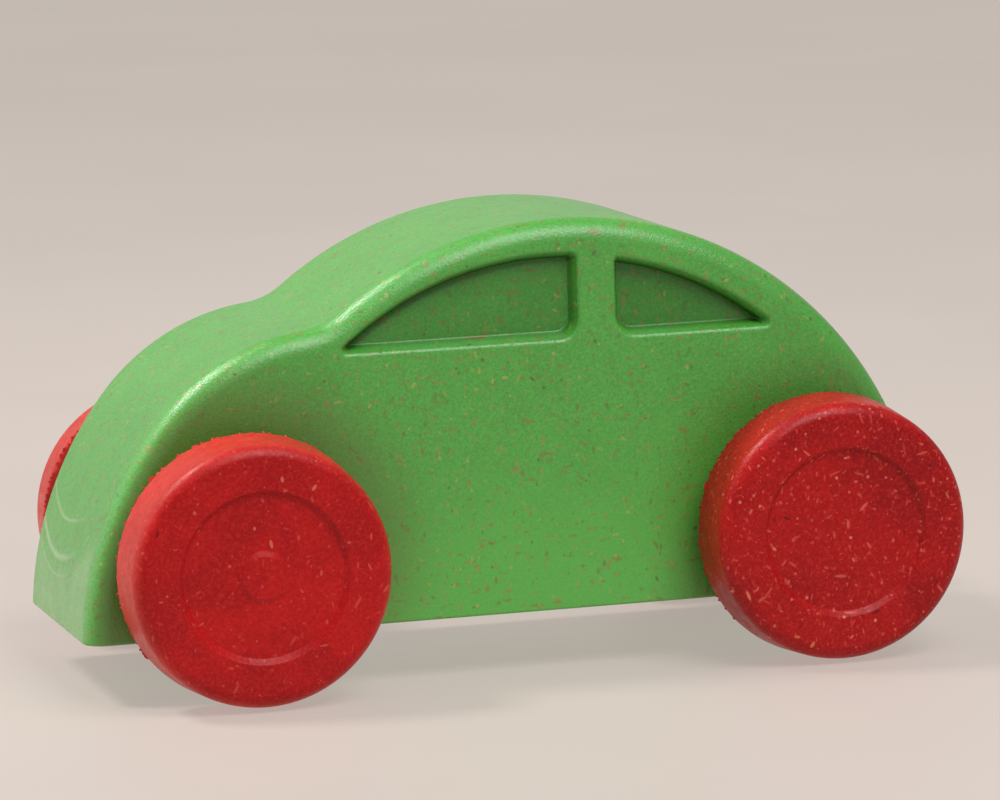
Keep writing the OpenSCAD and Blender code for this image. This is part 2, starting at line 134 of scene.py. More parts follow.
def shade(obj, sharp_deg=32):
    """Smooth shading that keeps flat faces flat and leaves real corners sharp."""
    bm = bmesh.new()
    bm.from_mesh(obj.data)
    bmesh.ops.remove_doubles(bm, verts=bm.verts, dist=0.002 * MM)
    bmesh.ops.dissolve_degenerate(bm, edges=bm.edges, dist=0.002 * MM)
    for face in bm.faces:
        face.smooth = True
    for edge in bm.edges:
        edge.smooth = edge.is_manifold and edge.calc_face_angle(0) < math.radians(sharp_deg)
    bm.to_mesh(obj.data)
    bm.free()
    normals = obj.modifiers.new("flat_faces_first", "WEIGHTED_NORMAL")
    normals.keep_sharp = True
    normals.weight = 80


# ---------------------------------------------------------------- outline of the body

# Radius and sweep of each arc, from the nose over the roof to the tail; a negative radius is hollow
ARCS = [(50, 35.6), (31, 44.82), (-10, 31.65), (50.5, 107.11), (84, 14.39)]
NOSE_LEAN = 93.1
EDGE_R = 3.05
EDGE_STEPS = 10
RIM_R = 0.4  # rounding of the lower rim
SIDE_WALL = 4.0
ROOF_WALL = 3.6
BELOW = 2.0  # how far the outline carries on below the underside before it is cut
SKIN = 0.02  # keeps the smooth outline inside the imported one
PAST = 1.0  # how far cutting tools reach past the surface they cut


def outline_arcs():
    """(centre x, centre z, radius, first direction, last direction) of each arc."""
    x, z, direction = SHELL_HIGH.x, UNDERSIDE, math.radians(NOSE_LEAN)
    found = []
    for r, sweep in ARCS:
        last = direction + math.copysign(math.radians(sweep), r)
        cx, cz = x - r * math.sin(direction), z + r * math.cos(direction)
        found.append((cx, cz, r, direction, last))
        x, z, direction = cx + r * math.sin(last), cz - r * math.cos(last), last
    return found


def outline(inset, step_deg=2.0):
    """Points (x, z) of the body outline, moved inwards and carried on below the underside."""
    points = []
    for cx, cz, r, first, last in outline_arcs():
        count = math.ceil(abs(math.degrees(last - first)) / step_deg)
        for i in range(count + 1):
            a = first + (last - first) * i / count
            if i or not points:
                reach = r - inset - SKIN
                points.append((cx + reach * math.sin(a), cz - reach * math.cos(a)))
    low = UNDERSIDE - BELOW
    return [(points[0][0], low)] + points + [(points[-1][0], low)]


# ---------------------------------------------------------------- body shell

# Arched windows: centre and radius of the top, upright edge, side of the tip, corner radii
SILL = 44.55
WINDOWS = [
    {"centre": (-5.4, 11.5), "r": 45.15, "edge": -9.15, "side": 1, "tip": 0.8, "top": 1.1, "low": 2.9},
    {"centre": (-6.7, 10.1), "r": 46.2, "edge": -13.95, "side": -1, "tip": 0.8, "top": 0.9, "low": 3.0},
]
WINDOW_DEPTH = 2.3
WINDOW_WALL = math.radians(68)
LIP_R = 0.75
LIP_GROW = 0.38  # how far the rounded lip starts outside the window's outline
LIP_START = 0.004  # depth at which it starts, so that it doesn't graze the side wall
FOOT_R = 0.35
TOOL_PROUD = 1.5  # reach of the window tool outside the side wall
LEAST_CORNER = 0.14


def arc(cx, cz, r, a0, a1, count):
    return [(cx + r * math.cos(a0 + (a1 - a0) * i / count), cz + r * math.sin(a0 + (a1 - a0) * i / count))
            for i in range(count + 1)]


def window_ring(window, grow):
    """Outline (x, z) of a window, made larger all round by grow."""
    cx, cz = window["centre"]
    side = window["side"]
    r = window["r"] + grow
    sill = SILL - grow
    edge = side * (window["edge"] - cx) - grow
    tip, top, low = (max(LEAST_CORNER, window[key] + grow) for key in ("tip", "top", "low"))
    tip_u = math.sqrt((r - tip) ** 2 - (sill + tip - cz) ** 2)
    tip_a = math.atan2(sill + tip - cz, tip_u)
    top_z = math.sqrt((r - top) ** 2 - (edge + top) ** 2)
    top_a = math.atan2(top_z, edge + top)
    points = arc(tip_u, sill + tip, tip, -math.pi / 2, tip_a, 8)
    points += arc(0, cz, r, tip_a, top_a, 40)[1:-1]
    points += arc(edge + top, cz + top_z, top, top_a, math.pi, 8)
    points += arc(edge + low, sill + low, low, math.pi, 1.5 * math.pi, 12)
    return [(cx + side * u, z) for u, z in points]


def window_section():
    """(depth, growth) down the wall of a window: rounded lip, sloping wall, rounded foot."""
    lip_steps, foot_steps = 6, 4
    steps = [(-TOOL_PROUD, LIP_GROW), (LIP_START, LIP_GROW)]
    for i in range(1, lip_steps + 1):
        a = WINDOW_WALL * i / lip_steps
        steps.append((LIP_START + LIP_R * (1 - math.cos(a)), LIP_GROW - LIP_R * math.sin(a)))
    depth, grow = steps[-1]
    foot_depth = WINDOW_DEPTH - FOOT_R * (1 - math.cos(WINDOW_WALL))
    grow -= (foot_depth - depth) / math.tan(WINDOW_WALL)
    for i in range(foot_steps + 1):
        a = WINDOW_WALL * (1 - i / foot_steps)
        inwards = FOOT_R * (math.sin(WINDOW_WALL) - math.sin(a))
        steps.append((WINDOW_DEPTH - FOOT_R * (1 - math.cos(a)), grow - inwards))
    return steps


def window_tool(window, side):
    bm = bmesh.new()
    loft(bm, [[(x, side * (HALF_W - depth), z) for x, z in window_ring(window, grow)]
              for depth, grow in window_section()])
    return mesh_object("window_tool", bm)


def shell_form():
    """The solid outer form: the outline, with rounded long edges and a rounded lower rim."""
    turns = [math.pi / 2 * i / EDGE_STEPS for i in range(EDGE_STEPS + 1)]
    straight = HALF_W - EDGE_R
    section = [(straight + EDGE_R * math.sin(a), EDGE_R * (1 - math.cos(a))) for a in turns]
    section = [(-y, inset) for y, inset in reversed(section)] + section
    bm = bmesh.new()
    loft(bm, [[(x, y, z) for x, z in outline(inset)] for y, inset in section])
    geometry = bm.verts[:] + bm.edges[:] + bm.faces[:]
    floor = Vector((0, 0, UNDERSIDE))
    bmesh.ops.bisect_plane(bm, geom=geometry, dist=1e-5, plane_co=floor, plane_no=(0, 0, -1),
                           clear_outer=True)
    bmesh.ops.edgeloop_fill(bm, edges=[e for e in bm.edges if e.is_boundary])
    rim = [e for e in bm.edges if all(abs(v.co.z - UNDERSIDE) < 1e-4 for v in e.verts)]
    bmesh.ops.bevel(bm, geom=rim, offset=RIM_R, segments=4, profile=0.5, affect="EDGES")
    return mesh_object("green_shell", bm)


SCREW_HEAD_R = 2.5
POST_R = 3.4
POST_FOOT = PLATE_LOW.z + 4.1
PILOT_R = 1.1
PILOT_FOOT = PLATE_LOW.z + 3
RIBS_X = (-4, 16)
RIB_T = 2
RIB_FOOT = 36
WIDE, HIGH = 40, 80  # past the body sideways and upwards
AXLE_GAP = 0.08


def screw_places():
    """Middles (x, y) of the four base screws."""
    return [(x, y) for x in (SCREW_LOW.x + SCREW_HEAD_R, SCREW_HIGH.x - SCREW_HEAD_R)
            for y in (SCREW_LOW.y + SCREW_HEAD_R, SCREW_HIGH.y - SCREW_HEAD_R)]


def cavity_tool():
    """The hollow inside the shell, around its screw posts and two stiffening ribs."""
    bm = bmesh.new()
    half = HALF_W - SIDE_WALL
    loft(bm, [[(x, y, z) for x, z in outline(ROOF_WALL, 6)] for y in (-half, half)])
    hollow = mesh_object("cavity_tool", bm)
    bm = bmesh.new()
    for x, y in screw_places():
        cylinder_into(bm, x, y, POST_R, POST_FOOT, HIGH)
    for x in RIBS_X:
        box_into(bm, (x, -WIDE, RIB_FOOT), (x + RIB_T, WIDE, HIGH))
    cut(hollow, mesh_object("posts_tool", bm))
    return hollow


def slots_tool():
    """Slots in the side walls that the axles pass through, open at the bottom."""
    bm = bmesh.new()
    half = AXLE_R + AXLE_GAP
    low = UNDERSIDE - PAST
    for axle in (FRONT_AXLE, REAR_AXLE):
        ring = [(axle.x + half, low)] + arc(axle.x, axle.z, half, 0, math.pi, 24) + [(axle.x - half, low)]
        loft(bm, [[(x, y, z) for x, z in ring] for y in (-HALF_W - PAST, HALF_W + PAST)])
    return mesh_object("slots_tool", bm)


def pilots_tool():
    """Pilot holes for the base screws."""
    bm = bmesh.new()
    for x, y in screw_places():
        cylinder_into(bm, x, y, PILOT_R, PILOT_FOOT, SCREW_HIGH.z + PAST, 24)
    return mesh_object("pilots_tool", bm)


def build_shell():
    shell = shell_form()
    cut(shell, cavity_tool())
    cut(shell, slots_tool())
    cut(shell, pilots_tool())
    for side in (1, -1):
        for window in WINDOWS:
            cut(shell, window_tool(window, side))
    shade(shell)
    return shell


# ---------------------------------------------------------------- wheels

RIM_Y = FACE_Y - 9.5
FACE_T = 3.0
RIM_T = 3.0
HUB_R = 4.6
BORE_END = 3.4  # from the face to the end of the blind bore
RECESS_R = 11.1
RECESS_D = 0.7
NUB_H = 0.38
TREAD_TAPER = 0.7
TREAD_EDGE_R = 2.1
SPOKES = 6
SPOKE_SECTION = [(-0.75, 1.5), (0.75, 1.5), (1.0, 7.0), (-1.0, 7.0)]  # (across, outwards)
WHEEL_SEGMENTS = 360
NEAR_GROUND = -0.7  # height on a wheel of radius 1 below which it has no flash


def rounded(corners, steps=6):
    """A line through (r, h, rounding) corners, each corner turned into an arc."""
    path = [Vector(corners[0][:2])]
    for before, here, after in zip(corners, corners[1:], corners[2:]):
        p, rounding = Vector(here[:2]), here[2]
        back, on = (Vector(before[:2]) - p).normalized(), (Vector(after[:2]) - p).normalized()
        if not rounding:
            path.append(p)
            continue
        half = back.angle(on) / 2
        centre = p + (back + on).normalized() * rounding / math.sin(half)
        start, end = p + back * rounding / math.tan(half), p + on * rounding / math.tan(half)
        from_angle = math.atan2(start.y - centre.y, start.x - centre.x)
        swing = math.atan2(end.y - centre.y, end.x - centre.x) - from_angle
        swing = (swing + math.pi) % (2 * math.pi) - math.pi
        count = max(steps, round(abs(swing) * rounding / 0.35))
        for i in range(count + 1):
            a = from_angle + swing * i / count
            path.append(centre + rounding * Vector((math.cos(a), math.sin(a))))
    path.append(Vector(corners[-1][:2]))
    return path


def wheel_profile(nub_r):
    """Section (radius, distance outwards) of a wheel, from its face's centre round to its bore."""
    width = FACE_Y - RIM_Y
    floor = width - RECESS_D
    web = width - FACE_T
    hub = HUB_END_Y - RIM_Y
    bore_end = width - BORE_END
    nub = [(0, floor, 0)]
    if nub_r:
        nub = [(0, floor + NUB_H, 0), (nub_r - 0.25, floor + NUB_H, 0.5), (nub_r + 0.55, floor, 0.5)]
    return rounded(nub + [
        (RECESS_R - 0.35, floor, 0.35), (RECESS_R + 0.4, width, 0.5),
        (WHEEL_R - TREAD_TAPER, width, TREAD_EDGE_R), (WHEEL_R, 0, 1.0), (WHEEL_R - RIM_T, 0, 0.5),
        (WHEEL_R - RIM_T - 0.15, web, 0.8), (HUB_R + 0.1, web, 0.8), (HUB_R, hub, 0.4),
        (AXLE_R, hub, 0.15), (AXLE_R, bore_end, 0), (0, bore_end, 0)
    ])


def wheel_mesh(name, nub_r, flash, turn):
    """A wheel about the Y axis at the origin, facing +Y, with flash on its inner rim edge.

    There is no flash where the wheel stands on the ground once it is turned by turn radians."""
    dice = random.Random(name)
    bm = bmesh.new()
    rows = []
    for r, h in wheel_profile(nub_r):
        if r < 1e-6:
            rows.append([bm.verts.new((0, h, 0))])
            continue
        rows.append([
            bm.verts.new((r * math.cos(a), h, r * math.sin(a)))
            for a in (2 * math.pi * i / WHEEL_SEGMENTS for i in range(WHEEL_SEGMENTS))
        ])
    for low, high in zip(rows, rows[1:]):
        for i in range(WHEEL_SEGMENTS):
            j = (i + 1) % WHEEL_SEGMENTS
            if len(low) == 1:
                bm.faces.new((low[0], high[j], high[i]))
            elif len(high) == 1:
                bm.faces.new((low[i], low[j], high[0]))
            else:
                bm.faces.new((low[i], low[j], high[j], high[i]))
    edge_row = next(row for row in rows if len(row) > 1 and row[0].co.y < 0.32
                    and row[0].co.x > WHEEL_R - 0.9)
    for i, vert in enumerate(edge_row):
        height = math.sin(2 * math.pi * i / WHEEL_SEGMENTS - turn)
        if dice.random() < 0.5 or height < NEAR_GROUND:
            continue
        ray = Vector((vert.co.x, 0, vert.co.z))
        reach = WHEEL_R + flash - ray.length
        vert.co += ray.normalized() * reach * dice.uniform(0.2, 1)
    wheel = mesh_object(name, bm)
    bm = bmesh.new()
    for i in range(SPOKES):
        a = 2 * math.pi * i / SPOKES
        ray, across = Vector((math.cos(a), 0, math.sin(a))), Vector((-math.sin(a), 0, math.cos(a)))
        ends = [ray * (HUB_R - 0.5), ray * (WHEEL_R - RIM_T + 0.6)]
        loft(bm, [[tuple(end + across * w + Vector((0, h, 0))) for w, h in SPOKE_SECTION] for end in ends])
    cut(wheel, mesh_object("spokes_tool", bm), "UNION")
    return wheel


def place_wheel(wheel, axle, side, turn):
    """Bakes the wheel's mesh into place in the row frame."""
    flip = Matrix.Diagonal((1, side, 1, 1))
    spot = Matrix.Translation(Vector((axle.x, side * RIM_Y, axle.z)) * MM)
    wheel.data.transform(spot @ flip @ Matrix.Rotation(turn, 4, "Y"))
    if side < 0:
        wheel.data.flip_normals()
    shade(wheel, 35)


def build_wheels():
    """The four wheels by name; the front ones have a nub and more flash."""
    made = {}
    for end, axle, nub_r, flash, turn_deg in (("front", FRONT_AXLE, 3.0, 0.2, 24),
                                              ("rear", REAR_AXLE, 0, 0.06, 51)):
        turn = math.radians(turn_deg)
        for side, hand in ((1, "left"), (-1, "right")):
            name = f"{end}_{hand}_wheel"
            wheel = wheel_mesh(f"red_{name}", nub_r, flash, turn)
            place_wheel(wheel, axle, side, turn)
            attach(wheel, f"{end}_wheelset")
            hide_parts(name)
            made[name] = wheel
    return made


# ---------------------------------------------------------------- material helpers

class Look:
    """A material under construction: a Principled shader and the nodes that feed it."""

    def __init__(self, name, **shader_values):
        self.material = bpy.data.materials.new(name)
        self.material.use_nodes = True
        self.tree = self.material.node_tree
        self.shader = self.tree.nodes["Principled BSDF"]
        for key, value in shader_values.items():
            self.shader.inputs[key.replace("_", " ")].default_value = value

    def node(self, kind, values=(), **settings):
        """A node with its settings; values are (input name or number, value or output)."""
        made = self.tree.nodes.new(kind)
        for key, value in settings.items():
            setattr(made, key, value)
        for key, value in values:
            if isinstance(value, bpy.types.NodeSocket):
                self.tree.links.new(value, made.inputs[key])
            else:
                made.inputs[key].default_value = value
        return made

    def math(self, operation, a, b=0.0):
        return self.node("ShaderNodeMath", [(0, a), (1, b)], operation=operation).outputs[0]

    def vector(self, operation, a, b=(0, 0, 0)):
        return self.node("ShaderNodeVectorMath", [(0, a), (1, b)], operation=operation).outputs[0]

    def length(self, a):
        return self.node("ShaderNodeVectorMath", [(0, a)], operation="LENGTH").outputs["Value"]

    def ramp(self, value, low, high, out_low=0.0, out_high=1.0):
        """value carried from low..high to out_low..out_high, with soft ends."""
        return self.node("ShaderNodeMapRange", [
            ("Value", value), ("From Min", low), ("From Max", high),
            ("To Min", out_low), ("To Max", out_high)
        ], interpolation_type="SMOOTHSTEP").outputs[0]

    def mix(self, factor, a, b):
        made = self.node("ShaderNodeMix", data_type="RGBA")
        for socket, value in ((made.inputs[0], factor), (made.inputs[6], a), (made.inputs[7], b)):
            if isinstance(value, bpy.types.NodeSocket):
                self.tree.links.new(value, socket)
            else:
                socket.default_value = value
        return made.outputs[2]

    def millimetres(self, shift=(0, 0, 0)):
        """Object coordinates in millimetres."""
        place = self.node("ShaderNodeTexCoord").outputs["Object"]
        return self.node("ShaderNodeMapping", [
            ("Vector", place), ("Scale", (1 / MM, 1 / MM, 1 / MM)), ("Location", shift)
        ]).outputs[0]

    def noise(self, place, grain, detail=3.0, roughness=0.55):
        """Noise with features about grain millimetres across."""
        return self.node("ShaderNodeTexNoise", [
            ("Vector", place), ("Scale", 1 / grain), ("Detail", detail), ("Roughness", roughness)
        ]).outputs["Fac"]

    def fibres(self, place, cell, length, width, share, shift):
        """Scattered fibres: (how much of a fibre is here, a random number for that fibre)."""
        grid = self.vector("MULTIPLY", self.vector("ADD", place, shift), (1 / cell, 1 / cell, 1 / cell))
        cells = self.node("ShaderNodeTexVoronoi", [("Vector", grid), ("Scale", 1.0)])
        middle = cells.outputs["Position"]
        dice = self.node("ShaderNodeTexWhiteNoise", [("Vector", middle)], noise_dimensions="3D")
        turn = self.vector("MULTIPLY", dice.outputs["Color"], (6.28, 6.28, 6.28))  # a full turn at most
        away = self.vector("SUBTRACT", grid, middle)
        turned = self.node("ShaderNodeVectorRotate", [("Vector", away), ("Rotation", turn)],
                           rotation_type="EULER_XYZ").outputs[0]
        shape = self.vector("MULTIPLY", turned, (cell / length, cell / width, cell / width))
        inside = self.ramp(self.length(shape), 1.0, 0.6)
        picked = self.math("LESS_THAN", dice.outputs["Value"], share)
        return self.math("MULTIPLY", inside, picked), self.math("DIVIDE", dice.outputs["Value"], share)

    def bump(self, height, distance_mm, strength=1.0):
        normal = self.node("ShaderNodeBump", [
            ("Height", height), ("Distance", distance_mm * MM), ("Strength", strength)
        ]).outputs[0]
        self.feed("Normal", normal)
        self.feed("Coat Normal", normal)

    def feed(self, key, socket):
        self.tree.links.new(socket, self.shader.inputs[key])


def rgb(red, green, blue):
    """An sRGB colour, 0 to 255, as linear RGBA."""
    def linear(value):
        value /= 255
        return value / 12.92 if value <= 0.04045 else ((value + 0.055) / 1.055) ** 2.4
    return (linear(red), linear(green), linear(blue), 1.0)


# ---------------------------------------------------------------- materials

def painted_window_shade(look, place):
    """How much painted shade the window recesses get: darkest under the arch and beside the pillar."""
    x, y, z = look.node("ShaderNodeSeparateXYZ", [("Vector", place)]).outputs
    depth = look.math("SUBTRACT", HALF_W, look.math("ABSOLUTE", y))
    sunk = look.math("MULTIPLY", look.ramp(depth, 0.7, 1.9), look.math("LESS_THAN", depth, 3.2))
    arch = look.length(look.node("ShaderNodeCombineXYZ", [
        ("X", look.math("ADD", x, 6)), ("Y", look.math("SUBTRACT", z, 10.8))
    ]).outputs[0])
    inside = look.math("MULTIPLY", look.math("LESS_THAN", arch, 45.8), look.ramp(z, SILL - 0.8, SILL + 0.4))
    everywhere = look.ramp(x, -10, -13, 0.44, 0.6)
    under_arch = look.ramp(arch, 43.2, 45.0, 0, 1)
    by_pillar = look.ramp(look.math("ABSOLUTE", look.math("ADD", x, 11.55)), 4.2, 2.5, 0, 0.85)
    darkest = look.math("MAXIMUM", everywhere, look.math("MAXIMUM", under_arch, by_pillar))
    return look.math("MULTIPLY", look.math("MULTIPLY", sunk, inside), darkest)


def distance_in_plane(look, a, b, centre):
    """Distance from a point in a plane, given the two coordinates of that plane."""
    return look.length(look.node("ShaderNodeCombineXYZ", [
        ("X", look.math("SUBTRACT", a, centre[0])), ("Y", look.math("SUBTRACT", b, centre[1]))
    ]).outputs[0])


def side_wall(look, y):
    """1 on the flat side walls, fading to 0 over their rounded edges."""
    return look.ramp(look.math("ABSOLUTE", y), HALF_W - 1.2, HALF_W - 0.3)


def painted_wheel_shadow(look, place):
    """Painted shadow of the wheels on the side walls, tinted browner as painted red bounce light."""
    x, y, z = look.node("ShaderNodeSeparateXYZ", [("Vector", place)]).outputs
    front = look.ramp(distance_in_plane(look, x, z, (FRONT_AXLE.x, FRONT_AXLE.z)), WHEEL_R, 29, 0.55, 0)
    rear = look.ramp(distance_in_plane(look, x, z, (REAR_AXLE.x, REAR_AXLE.z)), WHEEL_R, 25, 0.3, 0)
    return look.math("MULTIPLY", side_wall(look, y), look.math("MAXIMUM", front, rear))


def flow_marks(look, place):
    """Pale haze and a few curved flow marks low on the nose."""
    x, y, z = look.node("ShaderNodeSeparateXYZ", [("Vector", place)]).outputs
    across = look.math("DIVIDE", look.math("ADD", y, 3.5), 10.5)
    sag = look.math("SUBTRACT", z, look.math("MULTIPLY", look.math("MULTIPLY", across, across), 2.2))
    wavy = look.math("ADD", sag, look.math("MULTIPLY", look.noise(place, 6, 3), 1.0))
    patchy = look.ramp(look.noise(place, 4, 4), 0.3, 0.7, 0.1, 0.25)
    haze = look.math("MULTIPLY", look.ramp(wavy, 17, 13), patchy)
    for height, width, strength in ((22.2, 0.45, 0.4), (17.4, 0.7, 0.5), (14.9, 0.4, 0.35)):
        line = look.ramp(look.math("ABSOLUTE", look.math("SUBTRACT", wavy, height)), width, 0, 0, strength)
        haze = look.math("MAXIMUM", haze, look.math("MULTIPLY", line, look.ramp(y, 9, -3)))
    on_nose = look.math("MULTIPLY", look.ramp(x, 52, 56), look.ramp(look.math("ABSOLUTE", y), 18.4, 14.5))
    return look.math("MULTIPLY", on_nose, haze)


def deep_shade(look, colour):
    """The same colour, darker and more saturated: the colour of painted shade."""
    return look.node("ShaderNodeHueSaturation", [
        ("Saturation", 1.3), ("Value", 0.3), ("Color", colour)
    ]).outputs[0]


def green_composite(name, base, deep):
    """Moulded green plastic with wood fibres, from dark brown to cream, with painted shade in the window
    recesses, a painted wheel shadow and a painted floor bounce.
    """
    look = Look(name, Coat_Roughness=0.2)
    place = look.millimetres()
    cloud = look.noise(place, 14, 4)
    grain = look.noise(place, 0.35, 3, 0.7)
    colour = look.mix(look.ramp(cloud, 0.35, 0.65, 0, 0.6), base, deep)
    colour = look.mix(look.ramp(grain, 0.45, 0.72, 0, 0.5), colour, rgb(66, 118, 36))
    colour = look.mix(look.ramp(grain, 0.5, 0.28, 0, 0.45), colour, rgb(108, 184, 80))
    _, y, z = look.node("ShaderNodeSeparateXYZ", [("Vector", place)]).outputs
    # Painted floor bounce: the lower part of the side walls is painted paler green.
    low = look.math("MULTIPLY", side_wall(look, y), look.ramp(z, 38, 10, 0, 0.6))
    colour = look.mix(low, colour, rgb(92, 186, 70))
    smudges = [  # stretch, size, lowest noise that shows, tint, strength
        ((0.6, 1.0, 1.7), 1.5, 0.62, rgb(128, 104, 46), 0.55),
        ((1.7, 1.0, 0.6), 1.6, 0.63, rgb(148, 136, 66), 0.5),
        ((1.2, 1.0, 0.8), 1.2, 0.64, rgb(98, 84, 38), 0.5),
        ((0.7, 1.0, 1.4), 1.0, 0.65, rgb(160, 100, 56), 0.55),
    ]
    for stretch, size, least, tint, strength in smudges:
        spots = look.noise(look.vector("MULTIPLY", place, stretch), size, 2, 0.5)
        colour = look.mix(look.ramp(spots, least, least + 0.1, 0, strength), colour, tint)
    layers = [  # cell, length, width, share of cells with a fibre, shift, tint, strength
        (2.0, 0.90, 0.28, 0.85, (11, 3, 5), rgb(120, 98, 36), 0.65),
        (1.8, 0.75, 0.25, 0.85, (37, 19, 2), rgb(172, 162, 66), 0.65),
        (2.4, 1.05, 0.34, 0.70, (5, 41, 23), rgb(136, 118, 46), 0.6),
        (2.4, 0.75, 0.28, 0.60, (71, 13, 31), rgb(80, 70, 30), 0.7),
        (1.2, 0.50, 0.22, 0.80, (7, 61, 47), rgb(122, 132, 44), 0.55),
    ]
    fibre_height = None
    for cell, length, width, share, shift, tint, strength in layers:
        there, dice = look.fibres(place, cell, length, width, share, shift)
        amount = look.math("MULTIPLY", there, look.ramp(dice, 0.2, 1, strength * 0.2, strength))
        colour = look.mix(amount, colour, tint)
        fibre_height = there if fibre_height is None else look.math("MAXIMUM", fibre_height, there)
    # Painted wheel shadow and painted red bounce light on the side walls.
    colour = look.mix(painted_wheel_shadow(look, place), colour, rgb(86, 96, 22))
    colour = look.mix(flow_marks(look, place), colour, rgb(176, 200, 164))
    # Painted shade in the window recesses: darker, more saturated colour and less coat.
    painted_shade_here = painted_window_shade(look, place)
    look.feed("Base Color", look.mix(painted_shade_here, colour, deep_shade(look, colour)))
    look.feed("Coat Weight", look.ramp(painted_shade_here, 0, 1, 0.6, 0))
    look.feed("Roughness", look.ramp(look.noise(place, 2.2, 5, 0.65), 0.3, 0.7, 0.38, 0.52))
    swell = look.noise(place, 5.5, 3)
    pits = look.noise(place, 0.28, 3, 0.65)
    height = look.math("ADD", look.math("MULTIPLY", swell, 0.9), look.math("MULTIPLY", pits, 1.1))
    look.bump(look.math("ADD", height, look.math("MULTIPLY", fibre_height, 0.06)), 0.06)
    return look.material


def red_composite(name, low, high, share, pale, axle, scuff_and_sheen):
    """Moulded red plastic with pale fibres and a paler tread, partly scuffing and partly painted sheen.

    share is how many fibres there are, pale how much the palest ones stand out."""
    look = Look(name, Specular_IOR_Level=0.22)
    place = look.millimetres()
    cloud = look.noise(place, 9, 4)
    colour = look.mix(look.ramp(cloud, 0.35, 0.65, 0.15, 0.85), low, high)
    grain = look.noise(place, 0.4, 3, 0.7)
    colour = look.mix(look.ramp(grain, 0.45, 0.72, 0, 0.5), colour, rgb(206, 44, 38))
    colour = look.mix(look.ramp(grain, 0.5, 0.28, 0, 0.4), colour, rgb(128, 4, 10))
    layers = [  # cell, length, width, share of cells with a fibre, shift, tint, strength
        (1.9, 1.30, 0.24, share, (3, 17, 9), rgb(218, 92, 78), pale),
        (1.5, 1.00, 0.20, share, (29, 5, 41), rgb(208, 70, 58), 0.85),
        (2.3, 1.20, 0.28, share * 0.5, (13, 47, 7), rgb(226, 128, 98), pale),
        (1.2, 0.75, 0.14, share, (53, 23, 19), rgb(206, 62, 52), 0.85),
        (2.6, 0.80, 0.26, share * 0.5, (19, 59, 37), rgb(92, 10, 14), 0.8),
    ]
    for cell, length, width, part, shift, tint, strength in layers:
        there, dice = look.fibres(place, cell, length, width, part, shift)
        amount = look.math("MULTIPLY", there, look.ramp(dice, 0, 1, strength * 0.3, strength))
        colour = look.mix(amount, colour, tint)
    x, _, z = look.node("ShaderNodeSeparateXYZ", [("Vector", place)]).outputs
    # Paler tread all round: partly scuffing and partly painted sheen.
    rubbed_and_lit_tread = look.ramp(distance_in_plane(look, x, z, (axle.x, axle.z)), WHEEL_R - 2.0, WHEEL_R - 0.4)
    patchy = look.ramp(look.noise(place, 1.6, 5, 0.7), 0.3, 0.65, scuff_and_sheen * 0.5, scuff_and_sheen)
    colour = look.mix(look.math("MULTIPLY", rubbed_and_lit_tread, patchy), colour, rgb(230, 84, 70))
    look.feed("Base Color", colour)
    look.feed("Roughness", look.ramp(look.noise(place, 1.8, 5, 0.65), 0.3, 0.7, 0.3, 0.46))
    pits = look.noise(place, 0.5, 4, 0.65)
    swell = look.noise(place, 4.0, 3)
    look.bump(look.math("ADD", look.math("MULTIPLY", swell, 0.8), look.math("MULTIPLY", pits, 0.8)), 0.06)
    return look.material


def metal(name, tint, roughness, streak):
    """Drawn or rolled metal with fine lines along its length."""
    look = Look(name, Metallic=1.0)
    place = look.millimetres()
    lines = look.noise(look.vector("MULTIPLY", place, streak), 0.3, 4, 0.7)
    stain = look.noise(place, 3.0, 4)
    dark = tuple(c * 0.7 for c in tint[:3]) + (1.0,)
    look.feed("Base Color", look.mix(look.ramp(stain, 0.4, 0.75, 0, 0.6), tint, dark))
    look.feed("Roughness", look.ramp(lines, 0.3, 0.7, roughness * 0.75, roughness * 1.3))
    look.bump(lines, 0.01)
    return look.material


def moulded(name, tint, roughness):
    """Plain moulded plastic with a fine spark-eroded grain."""
    look = Look(name, Roughness=roughness)
    place = look.millimetres()
    cloud = look.noise(place, 6, 4)
    paler = tuple(min(1.0, c * 1.25 + 0.01) for c in tint[:3]) + (1.0,)
    look.feed("Base Color", look.mix(look.ramp(cloud, 0.35, 0.7, 0, 1), tint, paler))
    grain = look.noise(place, 0.12, 3, 0.6)
    look.feed("Roughness", look.ramp(grain, 0.3, 0.7, roughness * 0.85, roughness * 1.15))
    look.bump(grain, 0.02)
    return look.material


def paint(obj, material):
    obj.data.materials.clear()
    obj.data.materials.append(material)


def soften_edges(obj, width):
    """Small rounded edges on a carried-over CAD node."""
    weld = obj.modifiers.new("weld", "WELD")
    weld.merge_threshold = 0.001 * MM
    bevel = obj.modifiers.new("edges", "BEVEL")
    bevel.width = width * MM
    bevel.segments = 2
    bevel.limit_method = "ANGLE"
    bevel.angle_limit = math.radians(40)
    bevel.harden_normals = True


# ---------------------------------------------------------------- stage

def build_floor():
    bm = bmesh.new()
    half = 3000
    corners = [(-half, -half), (half, -half), (half, half), (-half, half)]
    bm.faces.new([bm.verts.new((x, y, 0)) for x, y in corners])
    floor = mesh_object("floor", bm)
    look = Look("floor_pale", Roughness=0.6, Emission_Color=rgb(226, 214, 206), Emission_Strength=0.53)
    place = look.millimetres()
    cloud = look.noise(place, 160, 3)
    cloudy = look.ramp(cloud, 0.3, 0.7, 0, 1)
    look.feed("Base Color", look.mix(cloudy, rgb(126, 117, 111), rgb(118, 109, 103)))
    look.bump(look.noise(place, 1.2, 3), 0.01)
    paint(floor, look.material)


